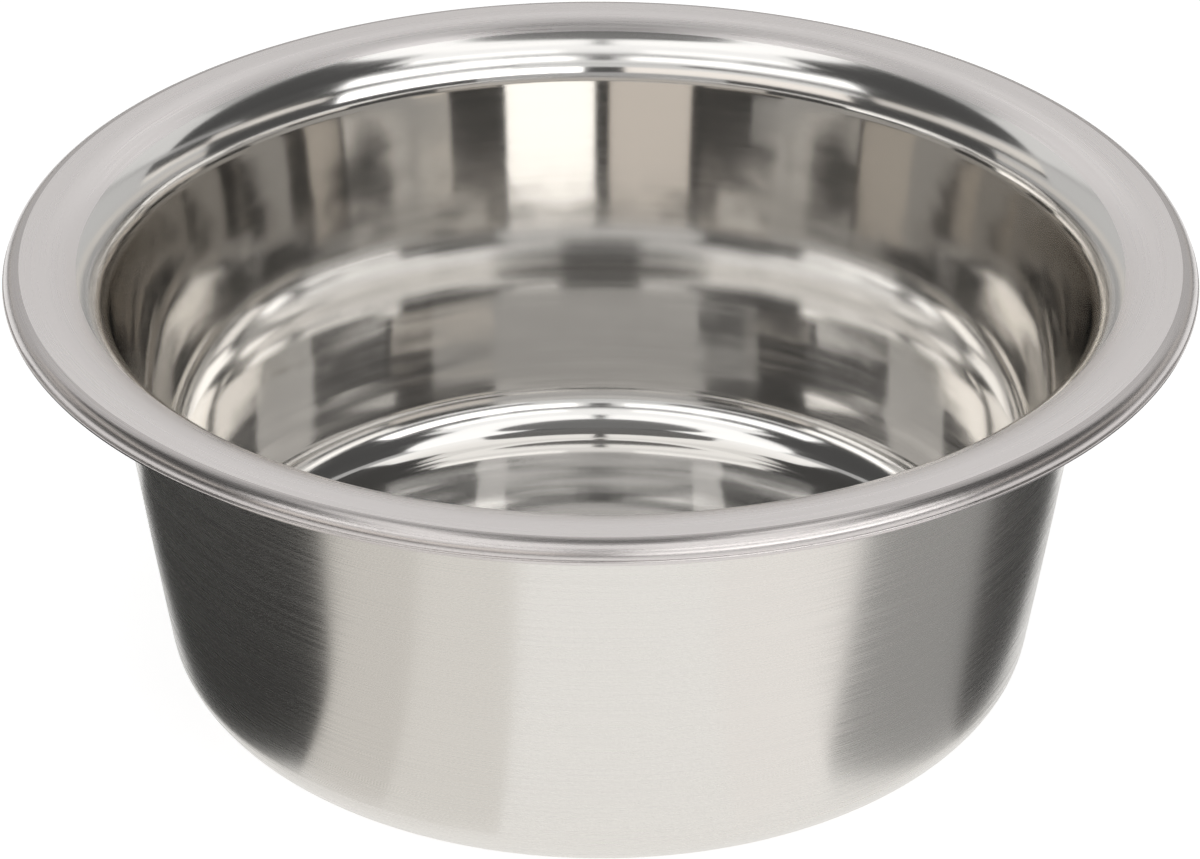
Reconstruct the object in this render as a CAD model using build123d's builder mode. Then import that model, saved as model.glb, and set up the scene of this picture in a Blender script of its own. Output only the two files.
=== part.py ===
"""Stainless dog bowl: a deep-drawn sheet steel shell with a beaded rim, on a bonded rubber ring.

The bowl stands on the XY plane with its axis along +Z. Lengths are in millimetres, angles in degrees.
"""

import os
from math import radians, tan

from build123d import *

# Shell, drawn from one round blank
rim_diameter = 240.0
bowl_depth = 94.0
sheet_thickness = 0.7
wall_angle = 7.4
base_corner_radius = 11.5

# Rim, from the shoulder out to the edge
shoulder_radius = 13.5
flange_flat = 4.0
edge_bend_radius = 3.2
lip_straight = 0.25
bead_diameter = 1.3

# Rubber ring bonded under the flat of the base
ring_width = 10.0
ring_thickness = 1.5
ring_inset = 3.0
ring_edge_radius = 0.5

# Heights above the surface that the bowl stands on
base_under = ring_thickness
base_inside = base_under + sheet_thickness
rim_top = base_under + bowl_depth
bead_centre_height = rim_top - edge_bend_radius - lip_straight

# Radii where the straight runs of the upper side of the sheet would meet if its bends were sharp
bead_centre_radius = rim_diameter / 2 - bead_diameter / 2
lip_radius = bead_centre_radius + sheet_thickness / 2
shoulder_start_radius = lip_radius - edge_bend_radius - flange_flat
shoulder_bend = radians(90.0 - wall_angle)
wall_head_radius = shoulder_start_radius - shoulder_radius * tan(shoulder_bend / 2)
wall_foot_radius = wall_head_radius - (rim_top - base_inside) * tan(radians(wall_angle))
base_corner_inside = base_corner_radius - sheet_thickness

# Flat of the base, inside the base corner, which carries the rubber ring
base_flat_radius = wall_foot_radius - base_corner_inside * tan(shoulder_bend / 2)
ring_outer_radius = base_flat_radius - ring_inset

os.makedirs("parts", exist_ok=True)

# The sheet follows one line from the middle of the base to the lip, and its edge is rolled into a bead
with BuildPart() as bowl_shell:
    with BuildSketch(Plane.XZ) as shell_section:
        with BuildLine() as sheet_line:
            FilletPolyline(
                (0, base_inside),
                (wall_foot_radius, base_inside),
                (wall_head_radius, rim_top),
                (lip_radius, rim_top),
                (lip_radius, bead_centre_height),
                radius=[base_corner_inside, shoulder_radius, edge_bend_radius],
            )
            offset(amount=sheet_thickness, side=Side.RIGHT)
        make_face()
        with Locations((bead_centre_radius, bead_centre_height)):
            Circle(bead_diameter / 2)
    revolve(axis=Axis.Z)
bowl_shell.part.label = "bowl_shell"
export_step(bowl_shell.part, "parts/bowl_shell.step")

# The ring lies flat against the base and is rounded where it meets the floor
with BuildPart() as non_slip_ring:
    with BuildSketch() as ring_plan:
        Circle(ring_outer_radius)
        Circle(ring_outer_radius - ring_width, mode=Mode.SUBTRACT)
    extrude(amount=ring_thickness)
    fillet(non_slip_ring.edges().group_by(Axis.Z)[0], ring_edge_radius)
non_slip_ring.part.label = "non_slip_ring"
export_step(non_slip_ring.part, "parts/non_slip_ring.step")
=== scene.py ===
"""Stainless dog bowl: a deep-drawn steel shell on a rubber ring, dressed and lit in a small studio.

Lengths are in metres in the part's own frame: the bowl stands on z = 0 with its axis along +Z,
and the picture is taken along +Y.
"""

import logging
from dataclasses import dataclass
from enum import Enum
from math import atan2, cos, hypot, pi, radians, sin, sqrt, tan
from typing import Any

import bpy
import numpy as np
from mathutils import Matrix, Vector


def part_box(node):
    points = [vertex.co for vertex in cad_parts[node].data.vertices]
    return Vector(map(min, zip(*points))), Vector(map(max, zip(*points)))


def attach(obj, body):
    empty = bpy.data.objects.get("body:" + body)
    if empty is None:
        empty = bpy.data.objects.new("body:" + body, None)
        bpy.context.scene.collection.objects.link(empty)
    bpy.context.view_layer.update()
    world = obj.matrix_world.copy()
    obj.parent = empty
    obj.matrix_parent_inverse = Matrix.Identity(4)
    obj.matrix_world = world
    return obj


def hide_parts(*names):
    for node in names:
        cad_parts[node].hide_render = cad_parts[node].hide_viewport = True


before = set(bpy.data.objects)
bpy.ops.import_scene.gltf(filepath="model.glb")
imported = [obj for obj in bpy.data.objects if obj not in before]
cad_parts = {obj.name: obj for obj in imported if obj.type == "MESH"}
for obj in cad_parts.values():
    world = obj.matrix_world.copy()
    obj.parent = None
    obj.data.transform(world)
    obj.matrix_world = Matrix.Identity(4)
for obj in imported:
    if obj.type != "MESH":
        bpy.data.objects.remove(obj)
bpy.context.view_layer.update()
log = logging.getLogger("dog_bowl")

MM = 0.001
WHITE = "#FFFFFF"
Point = tuple[float, float]
Place = tuple[float, float, float]
Span = tuple[float, float]


def linear(colour: str) -> tuple[float, float, float, float]:
    """Turns an sRGB hex colour into the linear one that the shaders take.

    Args:
        colour: Six hex digits after a hash sign.

    Returns:
        Red, green, blue and a full alpha.
    """
    parts = [int(colour[i : i + 2], 16) / 255 for i in (1, 3, 5)]
    lifted = [c / 12.92 if c <= 0.04045 else ((c + 0.055) / 1.055) ** 2.4 for c in parts]
    return (lifted[0], lifted[1], lifted[2], 1.0)


def add(tree: bpy.types.NodeTree, kind: str, settings: dict[Any, Any], **links: Any) -> bpy.types.Node:
    """Adds one node with its settings and links.

    Args:
        tree: The node tree that takes it.
        kind: The node's type without its ShaderNode prefix.
        settings: Values by socket name or number, or by the node's own property.
        links: Output sockets by input name, with spaces as underscores and numbers as in_0.

    Returns:
        The new node.
    """
    node = tree.nodes.new("ShaderNode" + kind)
    for key, value in settings.items():
        if isinstance(key, int) or key in node.inputs:
            node.inputs[key].default_value = value
        else:
            setattr(node, key, value)
    for key, source in links.items():
        socket = int(key[3:]) if key.startswith("in_") else key.replace("_", " ")
        tree.links.new(source, node.inputs[socket])
    return node


def fresh_material(name: str) -> tuple[bpy.types.Material, bpy.types.NodeTree]:
    """Makes an empty node material.

    Args:
        name: The material's name.

    Returns:
        The material and its cleared node tree.
    """
    material = bpy.data.materials.new(name)
    material.use_nodes = True
    material.node_tree.nodes.clear()
    return material, material.node_tree


class Side(Enum):
    """Faces of the sheet that were finished in different ways, in material slot order."""

    INSIDE = 0
    RIM = 1
    EDGE = 2
    OUTSIDE = 3


class Slant(Enum):
    """Whether the sheet rises or falls on its way outwards, as the factor that height is counted with."""

    RISING = 1.0
    FALLING = -1.0


@dataclass(frozen=True)
class Polish:
    """A finish of stainless sheet, with grooves that run round the bowl.

    Attributes:
        name: Steel and the way its surface was worked.
        colour: Colour of the bare metal; on the rim it is lifted above the rest of the sheet as painted
            brightness.
        roughness: Blur of the reflections in a groove of middling depth.
        grooving: Share of the blur that lies across the grooves.
        groove: Width of one groove, drawn wider than the real ones, which are too fine to show.
        run: Length over which one groove fades into the next.
        depth: Depth of the grooves, as bump distance.
        slant: Which way the sheet slopes where it has this finish.
        noise_span: Values between which nearly all of a noise lies.
        spread: Roughness of the smoothest and of the dullest groove, as shares of the middling one.
    """

    name: str
    colour: str
    roughness: float
    grooving: float
    groove: float
    run: float
    depth: float
    slant: Slant
    noise_span: Span = (0.3, 0.7)
    spread: Span = (0.8, 1.25)

    def streaks(
        self, tree: bpy.types.NodeTree, width: float, length: float, detail: float
    ) -> bpy.types.NodeSocket:
        """Lays a noise that is long round the bowl and fine along its section.

        Args:
            tree: The material's node tree.
            width: Width of one streak.
            length: Length over which it fades into the next.
            detail: Number of finer layers in the noise.

        Returns:
            The noise's value.
        """
        place = add(tree, "TexCoord", {}).outputs["Object"]
        flat = add(tree, "VectorMath", {"operation": "MULTIPLY", 1: (1, 1, 0)}, in_0=place).outputs[0]
        radius = add(tree, "VectorMath", {"operation": "LENGTH"}, in_0=flat).outputs["Value"]
        height = add(tree, "SeparateXYZ", {}, Vector=place).outputs["Z"]
        slope = {"operation": "MULTIPLY_ADD", 1: self.slant.value}
        along = add(tree, "Math", slope, in_0=height, in_2=radius).outputs[0]
        across = add(tree, "Math", {"operation": "MULTIPLY", 1: 1 / width}, in_0=along).outputs[0]
        lift = add(tree, "CombineXYZ", {}, Z=across).outputs[0]
        stretch = {"operation": "SCALE", "Scale": 1 / length}
        round_about = add(tree, "VectorMath", stretch, in_0=flat).outputs[0]
        drawn = add(tree, "VectorMath", {"operation": "ADD"}, in_0=round_about, in_1=lift).outputs[0]
        return add(tree, "TexNoise", {"Scale": 1.0, "Detail": detail}, Vector=drawn).outputs["Fac"]

    def blur(self, tree: bpy.types.NodeTree, grooves: bpy.types.NodeSocket) -> bpy.types.NodeSocket:
        """Spreads the roughness from the smoothest groove to the dullest.

        Args:
            tree: The material's node tree.
            grooves: Depth of the grooves, as a noise.

        Returns:
            The roughness.
        """
        limits = {
            "From Min": self.noise_span[0],
            "From Max": self.noise_span[1],
            "To Min": self.spread[0] * self.roughness,
            "To Max": self.spread[1] * self.roughness,
        }
        return add(tree, "MapRange", limits, Value=grooves).outputs["Result"]

    def relief(self, tree: bpy.types.NodeTree, grooves: bpy.types.NodeSocket) -> bpy.types.Node:
        """Cuts the grooves into the surface as bump.

        Args:
            tree: The material's node tree.
            grooves: Depth of the grooves, as a noise.

        Returns:
            The bump node.
        """
        return add(tree, "Bump", {"Strength": 0.5, "Distance": self.depth}, Height=grooves)

    def dress(self) -> bpy.types.Material:
        """Builds the finish as a node material.

        Returns:
            The material.
        """
        material, tree = fresh_material(self.name)
        grooves = self.streaks(tree, self.groove, self.run, detail=3.0)
        tangent = add(tree, "Tangent", {"direction_type": "RADIAL", "axis": "Z"})
        # A quarter turn lays the blur across the grooves
        steel = {
            "Base Color": linear(self.colour),
            "Metallic": 1.0,
            "Anisotropic": self.grooving,
            "Anisotropic Rotation": 0.25,
        }
        metal = add(
            tree,
            "BsdfPrincipled",
            steel,
            Roughness=self.blur(tree, grooves),
            Normal=self.relief(tree, grooves).outputs["Normal"],
            Tangent=tangent.outputs["Tangent"],
        )
        add(tree, "OutputMaterial", {}, Surface=metal.outputs[0])
        return material


@dataclass(frozen=True)
class DrawnPolish(Polish):
    """A finish inside the bowl, where the bends are hazier and drawing left faint rings low on the wall.

    Attributes:
        wave: Spacing of the rings.
        wave_run: Length over which one ring fades into the next.
        swell: Height of the rings, as bump distance.
        rings_start: Heights between which the rings come in.
        rings_end: Heights between which they go out.
        corner_haze: How many times rougher than the wall the base corner is, where the wheel reaches less.
        corner_start: Heights between which that haze comes in.
        corner_end: Heights between which it goes out, up the wall.
        shoulder_haze: How many times rougher than the wall the shoulder is.
        shoulder_start: Heights between which that haze comes in.
    """

    wave: float = 9 * MM
    wave_run: float = 27 * MM
    swell: float = 0.13 * MM
    rings_start: Span = (8 * MM, 16 * MM)
    rings_end: Span = (20 * MM, 32 * MM)
    corner_haze: float = 2.0
    corner_start: Span = (2.6 * MM, 4.2 * MM)
    corner_end: Span = (8 * MM, 30 * MM)
    shoulder_haze: float = 2.5
    shoulder_start: Span = (84 * MM, 89 * MM)

    def ramp(self, tree: bpy.types.NodeTree, heights: Span, values: Span) -> bpy.types.NodeSocket:
        """Makes a value that changes with height.

        Args:
            tree: The material's node tree.
            heights: Heights at which the change starts and ends.
            values: The value below the change and the one above it.

        Returns:
            The value.
        """
        place = add(tree, "TexCoord", {}).outputs["Object"]
        height = add(tree, "SeparateXYZ", {}, Vector=place).outputs["Z"]
        limits = {"From Min": heights[0], "From Max": heights[1], "To Min": values[0], "To Max": values[1]}
        return add(tree, "MapRange", limits, Value=height).outputs["Result"]

    def blur(self, tree: bpy.types.NodeTree, grooves: bpy.types.NodeSocket) -> bpy.types.NodeSocket:
        """Adds the haze of the two bends to the blur of the grooves.

        Args:
            tree: The material's node tree.
            grooves: Depth of the grooves, as a noise.

        Returns:
            The roughness.
        """
        shoulder = self.ramp(tree, self.shoulder_start, (1.0, self.shoulder_haze))
        begun = self.ramp(tree, self.corner_start, (0.0, 1.0))
        left = self.ramp(tree, self.corner_end, (self.corner_haze - 1.0, 0.0))
        haze = add(tree, "Math", {"operation": "MULTIPLY_ADD"}, in_0=begun, in_1=left, in_2=shoulder)
        plain = super().blur(tree, grooves)
        return add(tree, "Math", {"operation": "MULTIPLY"}, in_0=plain, in_1=haze.outputs[0]).outputs[0]

    def relief(self, tree: bpy.types.NodeTree, grooves: bpy.types.NodeSocket) -> bpy.types.Node:
        """Lays the rings under the grooves.

        Args:
            tree: The material's node tree.
            grooves: Depth of the grooves, as a noise.

        Returns:
            The bump node.
        """
        rings = self.streaks(tree, self.wave, self.wave_run, detail=1.0)
        begun = self.ramp(tree, self.rings_start, (0.0, 1.0))
        left = self.ramp(tree, self.rings_end, (1.0, 0.0))
        band = add(tree, "Math", {"operation": "MULTIPLY"}, in_0=begun, in_1=left)
        ringed = add(tree, "Math", {"operation": "MULTIPLY"}, in_0=rings, in_1=band.outputs[0])
        swell = add(tree, "Bump", {"Strength": 1.0, "Distance": self.swell}, Height=ringed.outputs[0])
        bump = super().relief(tree, grooves)
        tree.links.new(swell.outputs["Normal"], bump.inputs["Normal"])
        return bump


# Stainless sheet buffed on a wheel: a near mirror whose faint haze runs round the bowl
BUFFED_INSIDE = DrawnPolish(
    name="buffed_stainless_inside",
    colour="#E3E1DE",
    roughness=0.055,
    grooving=0.5,
    groove=1.2 * MM,
    run=60 * MM,
    depth=0.002 * MM,
    slant=Slant.RISING,
)
# Stainless sheet brushed on the turning rim: soft light with a fine concentric grain; its colour is lifted
# above the steel's elsewhere, a painted brightening of the rim
SATIN_RIM_PAINTED_BRIGHT = Polish(
    name="satin_stainless_rim_painted_bright",
    # Lighter than the other finishes of the same steel: painted brightness on the rim
    colour="#F0EBE9",
    roughness=0.30,
    grooving=0.5,
    groove=0.3 * MM,
    run=40 * MM,
    depth=0.004 * MM,
    slant=Slant.FALLING,
)
# Sheet edge dressed on the same wheel after rolling: a little tighter than the satin beside it
DRESSED_EDGE = Polish(
    name="dressed_stainless_edge",
    colour="#CBC6C4",
    roughness=0.25,
    grooving=0.3,
    groove=0.4 * MM,
    run=40 * MM,
    depth=0.002 * MM,
    slant=Slant.FALLING,
)
# Stainless sheet brushed round the wall: upright edges stay crisp and level ones blur
BRUSHED_OUTSIDE = Polish(
    name="brushed_stainless_outside",
    colour="#D8D5D0",
    roughness=0.26,
    grooving=0.7,
    groove=0.3 * MM,
    run=60 * MM,
    depth=0.003 * MM,
    slant=Slant.RISING,
)
FINISHES: dict[Side, Polish] = {
    Side.INSIDE: BUFFED_INSIDE,
    Side.RIM: SATIN_RIM_PAINTED_BRIGHT,
    Side.EDGE: DRESSED_EDGE,
    Side.OUTSIDE: BRUSHED_OUTSIDE,
}


@dataclass(frozen=True)
class MouldedRubber:
    """Black moulded rubber: dull and dark, with a fine matt grain.

    Attributes:
        name: Rubber and the way it was made.
        colour: Colour of the rubber.
        ior: Index of refraction of its skin.
        grain: Spacing of the grain.
        depth: Depth of the grain, as bump distance.
        dullness: Least and greatest roughness.
    """

    name: str = "moulded_black_rubber"
    colour: str = "#1B1B1C"
    ior: float = 1.52
    grain: float = 0.6 * MM
    depth: float = 0.05 * MM
    dullness: Span = (0.62, 0.82)

    def dress(self) -> bpy.types.Material:
        """Builds the rubber as a node material.

        Returns:
            The material.
        """
        material, tree = fresh_material(self.name)
        place = add(tree, "TexCoord", {}).outputs["Object"]
        noise = add(tree, "TexNoise", {"Scale": 1 / self.grain, "Detail": 2.0}, Vector=place)
        grain = noise.outputs["Fac"]
        blur = add(tree, "MapRange", {"To Min": self.dullness[0], "To Max": self.dullness[1]}, Value=grain)
        bump = add(tree, "Bump", {"Strength": 0.4, "Distance": self.depth}, Height=grain)
        rubber = add(
            tree,
            "BsdfPrincipled",
            {"Base Color": linear(self.colour), "IOR": self.ior},
            Roughness=blur.outputs["Result"],
            Normal=bump.outputs["Normal"],
        )
        add(tree, "OutputMaterial", {}, Surface=rubber.outputs[0])
        return material


def arc(centre: Point, radius: float, start: float, end: float, steps: int) -> list[Point]:
    """Walks along an arc of the section.

    Args:
        centre: Radius and height of the arc's centre.
        radius: The arc's own radius.
        start: First angle, from outward towards up.
        end: Last angle.
        steps: Number of chords.

    Returns:
        Points as radius and height, both ends included.
    """
    turns = [start + (end - start) * i / steps for i in range(steps + 1)]
    return [(centre[0] + radius * cos(a), centre[1] + radius * sin(a)) for a in turns]


def straight(first: Point, last: Point, steps: int) -> list[Point]:
    """Walks along a straight run of the section.

    Args:
        first: The end that the run starts from, left out here.
        last: The other end, left out as well.
        steps: Number of chords.

    Returns:
        The points between the two ends.
    """
    shares = [i / steps for i in range(1, steps)]
    return [(first[0] + (last[0] - first[0]) * s, first[1] + (last[1] - first[1]) * s) for s in shares]


@dataclass(frozen=True)
class Steps:
    """Numbers of chords round the axis and in each run of the section.

    The runs named under are those of the lower face of the sheet, which is no mirror and needs fewer.
    """

    around: int = 320
    middle: int = 6
    slope: int = 14
    slope_under: int = 6
    base_flat: int = 3
    corner: int = 40
    corner_under: int = 32
    wall: int = 32
    wall_under: int = 24
    shoulder: int = 32
    shoulder_top: int = 16
    shoulder_under: int = 24
    rim_flat: int = 4
    edge: int = 14
    edge_under: int = 10
    bead: int = 18


@dataclass
class BowlShell:
    """The drawn sheet, turned from its section as one closed mesh.

    Attributes:
        wall_angle: Lean of the wall from upright.
        wall_bow: Radius of the faint outward bow that drawing leaves in the wall.
        sheet: Thickness of the sheet.
        base_corner: Outside radius where the wall meets the base.
        shoulder: Radius of the bend from the wall to the flat of the rim.
        flange_flat: Width of the flat of the rim.
        edge_bend: Radius of the turned-down edge.
        lip_straight: Straight of the lip below that bend.
        bead: Thickness of the rolled edge.
        bead_turn: Angles between which the bead is round, from the lip over its foot to the inside.
        middle: Radii between which the middle of the base rises, the inner one first.
        middle_rise: Height of that faint rise.
        satin_to: Turn of the shoulder, from its top, at which the satin of the rim ends.
        steps: Numbers of chords.
    """

    wall_angle: float = radians(7.4)
    wall_bow: float = 3.1
    sheet: float = 0.7 * MM
    base_corner: float = 11.5 * MM
    shoulder: float = 13.5 * MM
    flange_flat: float = 4.0 * MM
    edge_bend: float = 3.2 * MM
    lip_straight: float = 0.25 * MM
    bead: float = 1.3 * MM
    bead_turn: Span = (radians(50), -radians(230))
    middle: Span = (48.5 * MM, 61.5 * MM)
    middle_rise: float = 0.24 * MM
    satin_to: float = radians(32)
    steps: Steps = Steps()

    def bow_centre(self, corner: Point, inner_corner: float, bend: Point) -> Point:
        """Finds the centre of the wall's wide arc, which runs smoothly into both bends.

        Args:
            corner: Centre of the base corner.
            inner_corner: Inside radius of that corner.
            bend: Centre of the shoulder, on the other side of the wall.

        Returns:
            Radius and height of the arc's centre, far beyond the bowl's axis.
        """
        out, up = bend[0] - corner[0], bend[1] - corner[1]
        apart = hypot(out, up)
        from_corner, from_bend = self.wall_bow - inner_corner, self.wall_bow + self.shoulder
        along = (from_corner**2 - from_bend**2 + apart**2) / (2 * apart)
        aside = sqrt(from_corner**2 - along**2)
        return (
            corner[0] + (along * out - aside * up) / apart,
            corner[1] + (along * up + aside * out) / apart,
        )

    def base(self, level: float, edge: float, slope_steps: int) -> list[Point]:
        """Walks along one face of the base from its middle out to the corner.

        Args:
            level: Height of the face beside the corner.
            edge: Radius at which the corner starts, left out here.
            slope_steps: Number of chords on the rise to the middle.

        Returns:
            Points as radius and height, without the one on the axis.
        """
        inner, outer = self.middle
        high = level + self.middle_rise
        points = straight((0.0, high), (inner, high), self.steps.middle)
        for i in range(slope_steps + 1):
            share = i / slope_steps
            height = level + self.middle_rise * (1 + cos(pi * share)) / 2
            points.append((inner + (outer - inner) * share, height))
        return points + straight((outer, level), (edge, level), self.steps.base_flat)

    def section(self) -> list[tuple[Side, list[Point]]]:
        """Works out the section from the middle of the inside round to the middle of the underside.

        Returns:
            Runs of points as radius and height, each with the side that it belongs to.
        """
        low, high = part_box("bowl_shell")
        rim_radius, under, top = high[0], low[2], high[2]
        inside = under + self.sheet
        bead_radius = rim_radius - self.bead / 2
        lip = bead_radius + self.sheet / 2
        flat_end = lip - self.edge_bend
        flat_start = flat_end - self.flange_flat
        half_bend = (pi / 2 - self.wall_angle) / 2
        head_radius = flat_start - self.shoulder * tan(half_bend)
        foot_radius = head_radius - (top - inside) * tan(self.wall_angle)
        inner_corner = self.base_corner - self.sheet
        base_flat = foot_radius - inner_corner * tan(half_bend)
        bead_height = top - self.edge_bend - self.lip_straight

        steps = self.steps
        corner = (base_flat, inside + inner_corner)
        bend = (flat_start, top - self.shoulder)
        turned_edge = (flat_end, top - self.edge_bend)
        bow = self.bow_centre(corner, inner_corner, bend)
        foot = atan2(corner[1] - bow[1], corner[0] - bow[0])
        head = atan2(bend[1] - bow[1], bend[0] - bow[0])
        satin_end = pi / 2 + self.satin_to
        corner_up = arc(corner, inner_corner, -pi / 2, foot, steps.corner)
        wall_up = arc(bow, self.wall_bow, foot, head, steps.wall)[1:-1]
        shoulder_low = arc(bend, self.shoulder, pi + head, satin_end, steps.shoulder)
        shoulder_high = arc(bend, self.shoulder, satin_end, pi / 2, steps.shoulder_top)[1:]
        edge_down = arc(turned_edge, self.edge_bend, pi / 2, 0.0, steps.edge)
        bead_round = arc((bead_radius, bead_height), self.bead / 2, *self.bead_turn, steps.bead)
        edge_up = arc(turned_edge, self.edge_bend - self.sheet, 0.0, pi / 2, steps.edge_under)
        shoulder_down = arc(bend, self.shoulder - self.sheet, pi / 2, pi + head, steps.shoulder_under)
        wall_down = arc(bow, self.wall_bow + self.sheet, head, foot, steps.wall_under)[1:-1]
        corner_down = arc(corner, self.base_corner, foot, -pi / 2, steps.corner_under)

        polished = self.base(inside, base_flat, steps.slope) + corner_up + wall_up + shoulder_low
        rim = shoulder_high + straight(shoulder_high[-1], edge_down[0], steps.rim_flat) + edge_down[:1]
        edge = edge_down[1:] + bead_round
        outer = edge_up + straight(edge_up[-1], shoulder_down[0], steps.rim_flat) + shoulder_down
        outer += wall_down + corner_down
        outer += self.base(under, base_flat, steps.slope_under)[::-1]
        return [(Side.INSIDE, polished), (Side.RIM, rim), (Side.EDGE, edge), (Side.OUTSIDE, outer)]

    def turn(self) -> bpy.types.Object:
        """Turns the section round the axis.

        Returns:
            The shell as a mesh object with a material slot number for each side.
        """
        runs = self.section()
        points = np.array([p for _, part in runs for p in part])
        sides = [side.value for side, part in runs for _ in part]
        around = self.steps.around
        angles = np.arange(around) * 2 * pi / around
        rings = np.empty((len(points), around, 3))
        rings[..., 0] = points[:, :1] * np.cos(angles)
        rings[..., 1] = points[:, :1] * np.sin(angles)
        rings[..., 2] = points[:, 1:]
        low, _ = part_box("bowl_shell")
        middle = low[2] + self.middle_rise
        poles = [(0.0, 0.0, middle + self.sheet), (0.0, 0.0, middle)]
        corners = rings.reshape(-1, 3).tolist() + poles

        faces: list[tuple[int, ...]] = []
        slots: list[int] = []
        last = (len(points) - 1) * around
        for start in range(0, last, around):
            ahead = start + around
            side = sides[ahead // around]
            for j in range(around):
                k = (j + 1) % around
                faces.append((start + j, start + k, ahead + k, ahead + j))
                slots.append(side)
        inner_pole, outer_pole = last + around, last + around + 1
        for j in range(around):
            k = (j + 1) % around
            faces.append((inner_pole, k, j))
            slots.append(Side.INSIDE.value)
            faces.append((outer_pole, last + j, last + k))
            slots.append(Side.OUTSIDE.value)
        mesh = bpy.data.meshes.new("bowl_shell_drawn")
        mesh.from_pydata(corners, [], faces)
        mesh.polygons.foreach_set("material_index", slots)
        mesh.shade_smooth()
        mesh.update()
        shell = bpy.data.objects.new("bowl_shell_drawn", mesh)
        bpy.context.collection.objects.link(shell)
        return shell

    def build(self) -> None:
        """Makes the shell, dresses its four sides and puts it in place of the plain solid."""
        shell = self.turn()
        for side in Side:
            shell.data.materials.append(FINISHES[side].dress())
        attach(shell, "root")
        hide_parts("bowl_shell")
        log.info("bowl shell: %d faces", len(shell.data.polygons))


@dataclass
class NonSlipRing:
    """The rubber ring under the base, which keeps its own solid.

    Attributes:
        finish: The rubber that it is moulded from.
    """

    finish: MouldedRubber = MouldedRubber()

    def build(self) -> None:
        """Dresses the ring's solid in moulded rubber."""
        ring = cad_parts["non_slip_ring"]
        ring.data.materials.clear()
        ring.data.materials.append(self.finish.dress())
        log.info("non-slip ring: %s", self.finish.name)


def lit_sheet(
    name: str, corners: list[Place], faces: list[tuple[int, ...]], colour: str, strength: float
) -> bpy.types.Object:
    """Makes a plain glowing sheet of the studio, which shows in the steel and not to the camera.

    Args:
        name: The sheet's name.
        corners: Its points.
        faces: Its faces, as numbers of points.
        colour: Colour of its light.
        strength: Brightness, where one is white.

    Returns:
        The sheet.
    """
    mesh = bpy.data.meshes.new(name)
    mesh.from_pydata(corners, [], faces)
    material, tree = fresh_material(name + "_light")
    glow = add(tree, "Emission", {"Color": linear(colour), "Strength": strength})
    add(tree, "OutputMaterial", {}, Surface=glow.outputs[0])
    mesh.materials.append(material)
    sheet = bpy.data.objects.new(name, mesh)
    bpy.context.collection.objects.link(sheet)
    sheet.visible_camera = False
    return sheet


@dataclass(frozen=True)
class Screen:
    """A curved lit screen round the bowl and outside the picture, which the steel shows.

    Attributes:
        name: Where it hangs.
        around: Its two sides, in degrees to the right of the camera's side.
        rise: Its lower and upper edge, in degrees above the level of its hub.
        strength: Brightness, where one is white.
        colour: Colour of its light.
        reach: Distance from its hub, which is on the bowl's axis.
        hub: Height of the hub.
        facet: Degrees that one of its facets covers.
    """

    name: str
    around: Span
    rise: Span
    strength: float
    colour: str = WHITE
    reach: float = 2.0
    hub: float = 60 * MM
    facet: float = 4.0

    def angles(self, limits: Span) -> list[float]:
        """Divides a span of degrees into facets.

        Args:
            limits: First and last angle, in degrees.

        Returns:
            Angles in radians, both ends included.
        """
        first, last = limits
        count = max(2, round((last - first) / self.facet))
        return [radians(first + (last - first) * i / count) for i in range(count + 1)]

    def hang(self) -> None:
        """Hangs the screen where the camera doesn't see it."""
        sides = self.angles(self.around)
        rises = self.angles(self.rise)
        corners = [
            (
                self.reach * cos(rise) * sin(side),
                -self.reach * cos(rise) * cos(side),
                self.reach * sin(rise) + self.hub,
            )
            for rise in rises
            for side in sides
        ]
        row = len(sides)
        faces = [
            (j * row + i, j * row + i + 1, (j + 1) * row + i + 1, (j + 1) * row + i)
            for j in range(len(rises) - 1)
            for i in range(row - 1)
        ]
        lit_sheet(self.name, corners, faces, self.colour, self.strength)
        log.info("screen: %s", self.name)


@dataclass(frozen=True)
class Flag:
    """A card lying on the floor outside the picture, which the outer wall shows.

    Attributes:
        name: Where it lies.
        corners: Its outline on the floor, in millimetres.
        glow: Brightness of the card under the studio light.
        colour: Colour of the card.
        lift: Height of the card over the bowl's own level.
    """

    name: str
    corners: tuple[Point, ...]
    glow: float
    colour: str = WHITE
    lift: float = 0.2 * MM

    def lay(self) -> None:
        """Lays the card on the floor, seen only in the steel."""
        corners = [(x * MM, y * MM, self.lift) for x, y in self.corners]
        card = lit_sheet(self.name, corners, [tuple(range(len(corners)))], self.colour, self.glow)
        card.visible_diffuse = False
        card.visible_shadow = False
        log.info("flag: %s", self.name)


@dataclass(frozen=True)
class Camera:
    """The camera in front of the bowl, looking down over its rim.

    Attributes:
        place: Where it stands.
        pitch: Angle by which it looks down.
        lean: Angle by which it leans to its left.
        sensor: Width of its sensor, in millimetres.
        lens: Focal length, in millimetres.
    """

    place: Place = (0.0, -0.7214, 0.4638)
    pitch: float = radians(29.799)
    lean: float = radians(0.248)
    sensor: float = 36.0
    lens: float = 120.38

    def set_up(self) -> None:
        """Sets the camera up and gives it to the scene."""
        optics = bpy.data.cameras.new("camera")
        optics.sensor_width = self.sensor
        optics.lens = self.lens
        camera = bpy.data.objects.new("camera", optics)
        bpy.context.collection.objects.link(camera)
        aim = Matrix.Rotation(pi / 2 - self.pitch, 4, "X")
        camera.matrix_world = Matrix.Translation(self.place) @ aim @ Matrix.Rotation(self.lean, 4, "Z")
        bpy.context.scene.camera = camera


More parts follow.
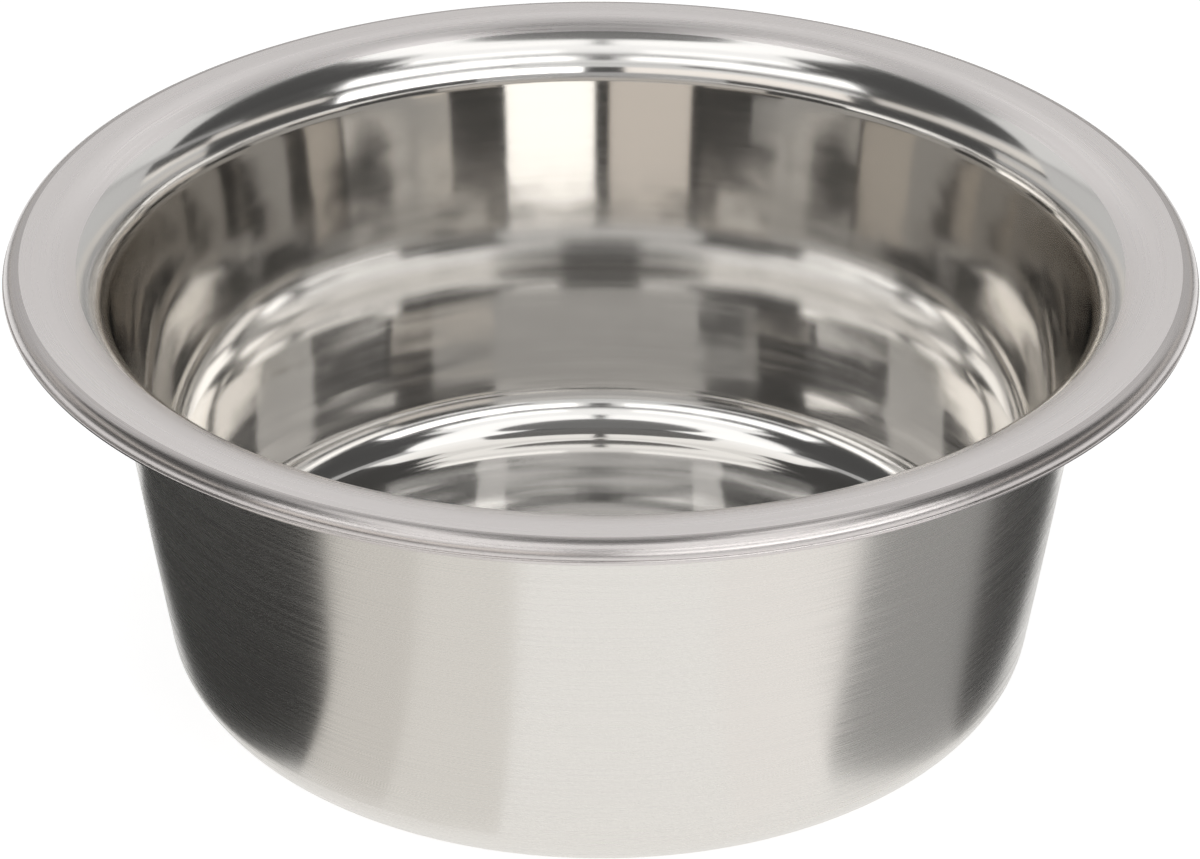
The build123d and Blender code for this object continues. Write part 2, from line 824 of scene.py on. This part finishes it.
@dataclass
class Studio:
    """The pale floor, the panels round the bowl, the air and the camera.

    Attributes:
        reach: Half the side of the floor.
        floor_colour: Colour of the floor.
        floor_glow: Share of white that the floor shows to the camera and in the steel.
        floor_drop: Gap between the ring and the floor, so that the two faces never share a plane.
        dark: Brightness of the unlit room.
        bounces: How often light is passed on, as the mirror inside does many times before it leaves.
        camera: The camera.
        screens: The lit screens, from the front round to the back.
        flags: The cards on the floor, from the left round to the right.
    """

    reach: float = 4.0
    floor_colour: str = "#B4B4B4"
    floor_glow: float = 0.78
    floor_drop: float = 0.05 * MM
    dark: float = 0.08
    bounces: int = 16
    camera: Camera = Camera()
    screens: tuple[Screen, ...] = (
        Screen("front_low", (-30, 30), (4, 11), 0.45),
        Screen("front_right_window", (4.5, 66), (11, 22), 2.5),
        Screen("front_left_window", (-62, -5.5), (11, 22), 1.15, "#FFF9F3"),
        Screen("front_fill", (-22, 22), (22, 27.8), 0.78),
        Screen("front_right_fill", (22, 66), (22, 26.6), 1.5),
        Screen("front_left_fill", (-66, -22), (22, 26.6), 0.95),
        Screen("front_rail", (-20, 20), (27.8, 30.5), 0.62),
        Screen("front_fill_high", (-22, 22), (30.5, 35), 0.9),
        Screen("front_right_fill_high", (22, 70), (31.6, 35), 1.8),
        Screen("front_left_fill_high", (-70, -22), (31.6, 35), 1.3),
        Screen("front_right_bank", (7.5, 70), (35, 43.5), 2.3),
        Screen("front_right_bank_end", (3.5, 7.5), (35, 43.5), 1.0),
        Screen("front_left_bank", (-70, -7.5), (35, 43.5), 1.9),
        Screen("front_left_bank_end", (-7.5, -3.5), (35, 43.5), 0.9),
        Screen("front_rail_high", (-40, 40), (46.2, 49.8), 0.62),
        Screen("front_right_rail", (30, 40), (43.5, 46.2), 0.62),
        Screen("front_left_rail", (-40, -30), (43.5, 46.2), 0.62),
        Screen("front_above", (-12, 12), (49.8, 55), 1.1),
        Screen("front_right_above", (12, 60), (49.8, 58), 1.7),
        Screen("front_left_above", (-60, -12), (49.8, 58), 1.6),
        Screen("front_ceiling", (-70, 70), (55, 65), 1.15),
        Screen("overhead_left", (-150, -3), (65, 77), 1.35),
        Screen("overhead_right", (3, 150), (65, 77), 1.35),
        Screen("right_strip", (70, 106), (20, 26), 0.95, "#FFFAF4"),
        Screen("right_strip_low", (106, 130), (17, 21), 1.0, "#FFFAF4"),
        Screen("left_strip", (-125, -70), (20, 28), 0.85, "#FFFAF4"),
        Screen("zenith", (-180, 180), (77, 90), 0.2),
        Screen("back_foot", (105, 255), (3, 8), 0.4),
        Screen("back_low", (105, 255), (8, 13), 0.7, "#FFFAF4"),
        Screen("back_middle", (105, 255), (13, 17), 0.6),
        Screen("back_wall", (130, 235), (17, 28), 0.62),
        Screen("back_beam", (98, 268), (28, 31), 0.52),
        Screen("back_high", (125, 235), (31, 48), 0.8),
        Screen("back_ceiling", (125, 235), (48, 65), 0.5),
    )
    flags: tuple[Flag, ...] = (
        Flag(
            "left_flag",
            ((-123, 50), (-72, -68), (-92, -88), (-131, -108), (-320, -190), (-320, 130)),
            0.05,
        ),
        Flag(
            "left_card",
            ((-92, -88), (-72, -68), (-52, -84), (-170, -275), (-320, -190), (-131, -108)),
            0.80,
            "#FFFCF8",
        ),
        Flag(
            "front_left_card",
            ((-52, -84), (-24, -96), (-78, -315), (-170, -275)),
            0.93,
            "#FFFDFA",
        ),
        Flag(
            "front_right_card",
            ((34, -94), (62, -88), (130, -115), (235, -215), (110, -300)),
            1.10,
            "#FFFDFC",
        ),
        Flag(
            "right_flag",
            ((133, 50), (320, 130), (320, 17), (82, -50)),
            0.07,
        ),
        Flag(
            "right_grey_flag",
            ((82, -50), (320, 17), (320, -200), (130, -115), (62, -88)),
            0.38,
        ),
    )

    def lay_floor(self) -> None:
        """Lays a pale floor that is white to the camera and in the steel, and keeps a soft shadow."""
        r, level = self.reach, -self.floor_drop
        corners = [(-r, -r, level), (r, -r, level), (r, r, level), (-r, r, level)]
        mesh = bpy.data.meshes.new("floor")
        mesh.from_pydata(corners, [], [(0, 1, 2, 3)])
        material, tree = fresh_material("pale_floor")
        rays = add(tree, "LightPath", {}).outputs
        greatest = {"operation": "MAXIMUM"}
        seen = add(tree, "Math", greatest, in_0=rays["Is Camera Ray"], in_1=rays["Is Glossy Ray"])
        shown = add(tree, "Math", greatest, in_0=seen.outputs[0], in_1=rays["Is Transmission Ray"])
        share = add(tree, "Math", {"operation": "MULTIPLY", 1: self.floor_glow}, in_0=shown.outputs[0])
        glow = add(tree, "Emission", {"Color": linear(WHITE)}, Strength=share.outputs[0])
        matt = add(tree, "BsdfDiffuse", {"Color": linear(self.floor_colour)})
        both = add(tree, "AddShader", {}, in_0=glow.outputs[0], in_1=matt.outputs[0])
        add(tree, "OutputMaterial", {}, Surface=both.outputs[0])
        mesh.materials.append(material)
        floor = bpy.data.objects.new("floor", mesh)
        bpy.context.collection.objects.link(floor)
        log.info("floor")

    def fill_air(self) -> None:
        """Makes the room white to the camera and dark to everything else."""
        world = bpy.data.worlds.new("studio")
        bpy.context.scene.world = world
        world.use_nodes = True
        tree = world.node_tree
        tree.nodes.clear()
        rays = add(tree, "LightPath", {}).outputs
        level = add(tree, "MapRange", {"To Min": self.dark, "To Max": 1.0}, Value=rays["Is Camera Ray"])
        air = add(tree, "Background", {"Color": linear(WHITE)}, Strength=level.outputs["Result"])
        add(tree, "OutputWorld", {}, Surface=air.outputs[0])

    def build(self) -> None:
        """Sets up the whole studio."""
        self.lay_floor()
        self.fill_air()
        for screen in self.screens:
            screen.hang()
        for flag in self.flags:
            flag.lay()
        self.camera.set_up()
        scene = bpy.context.scene
        scene.view_settings.view_transform = "Standard"
        scene.cycles.max_bounces = self.bounces
        scene.cycles.glossy_bounces = self.bounces


def main() -> None:
    """Builds the bowl's pieces and the studio."""
    logging.basicConfig(level=logging.INFO, format="%(message)s")
    BowlShell().build()
    NonSlipRing().build()
    Studio().build()


if __name__ == "__main__":
    main()
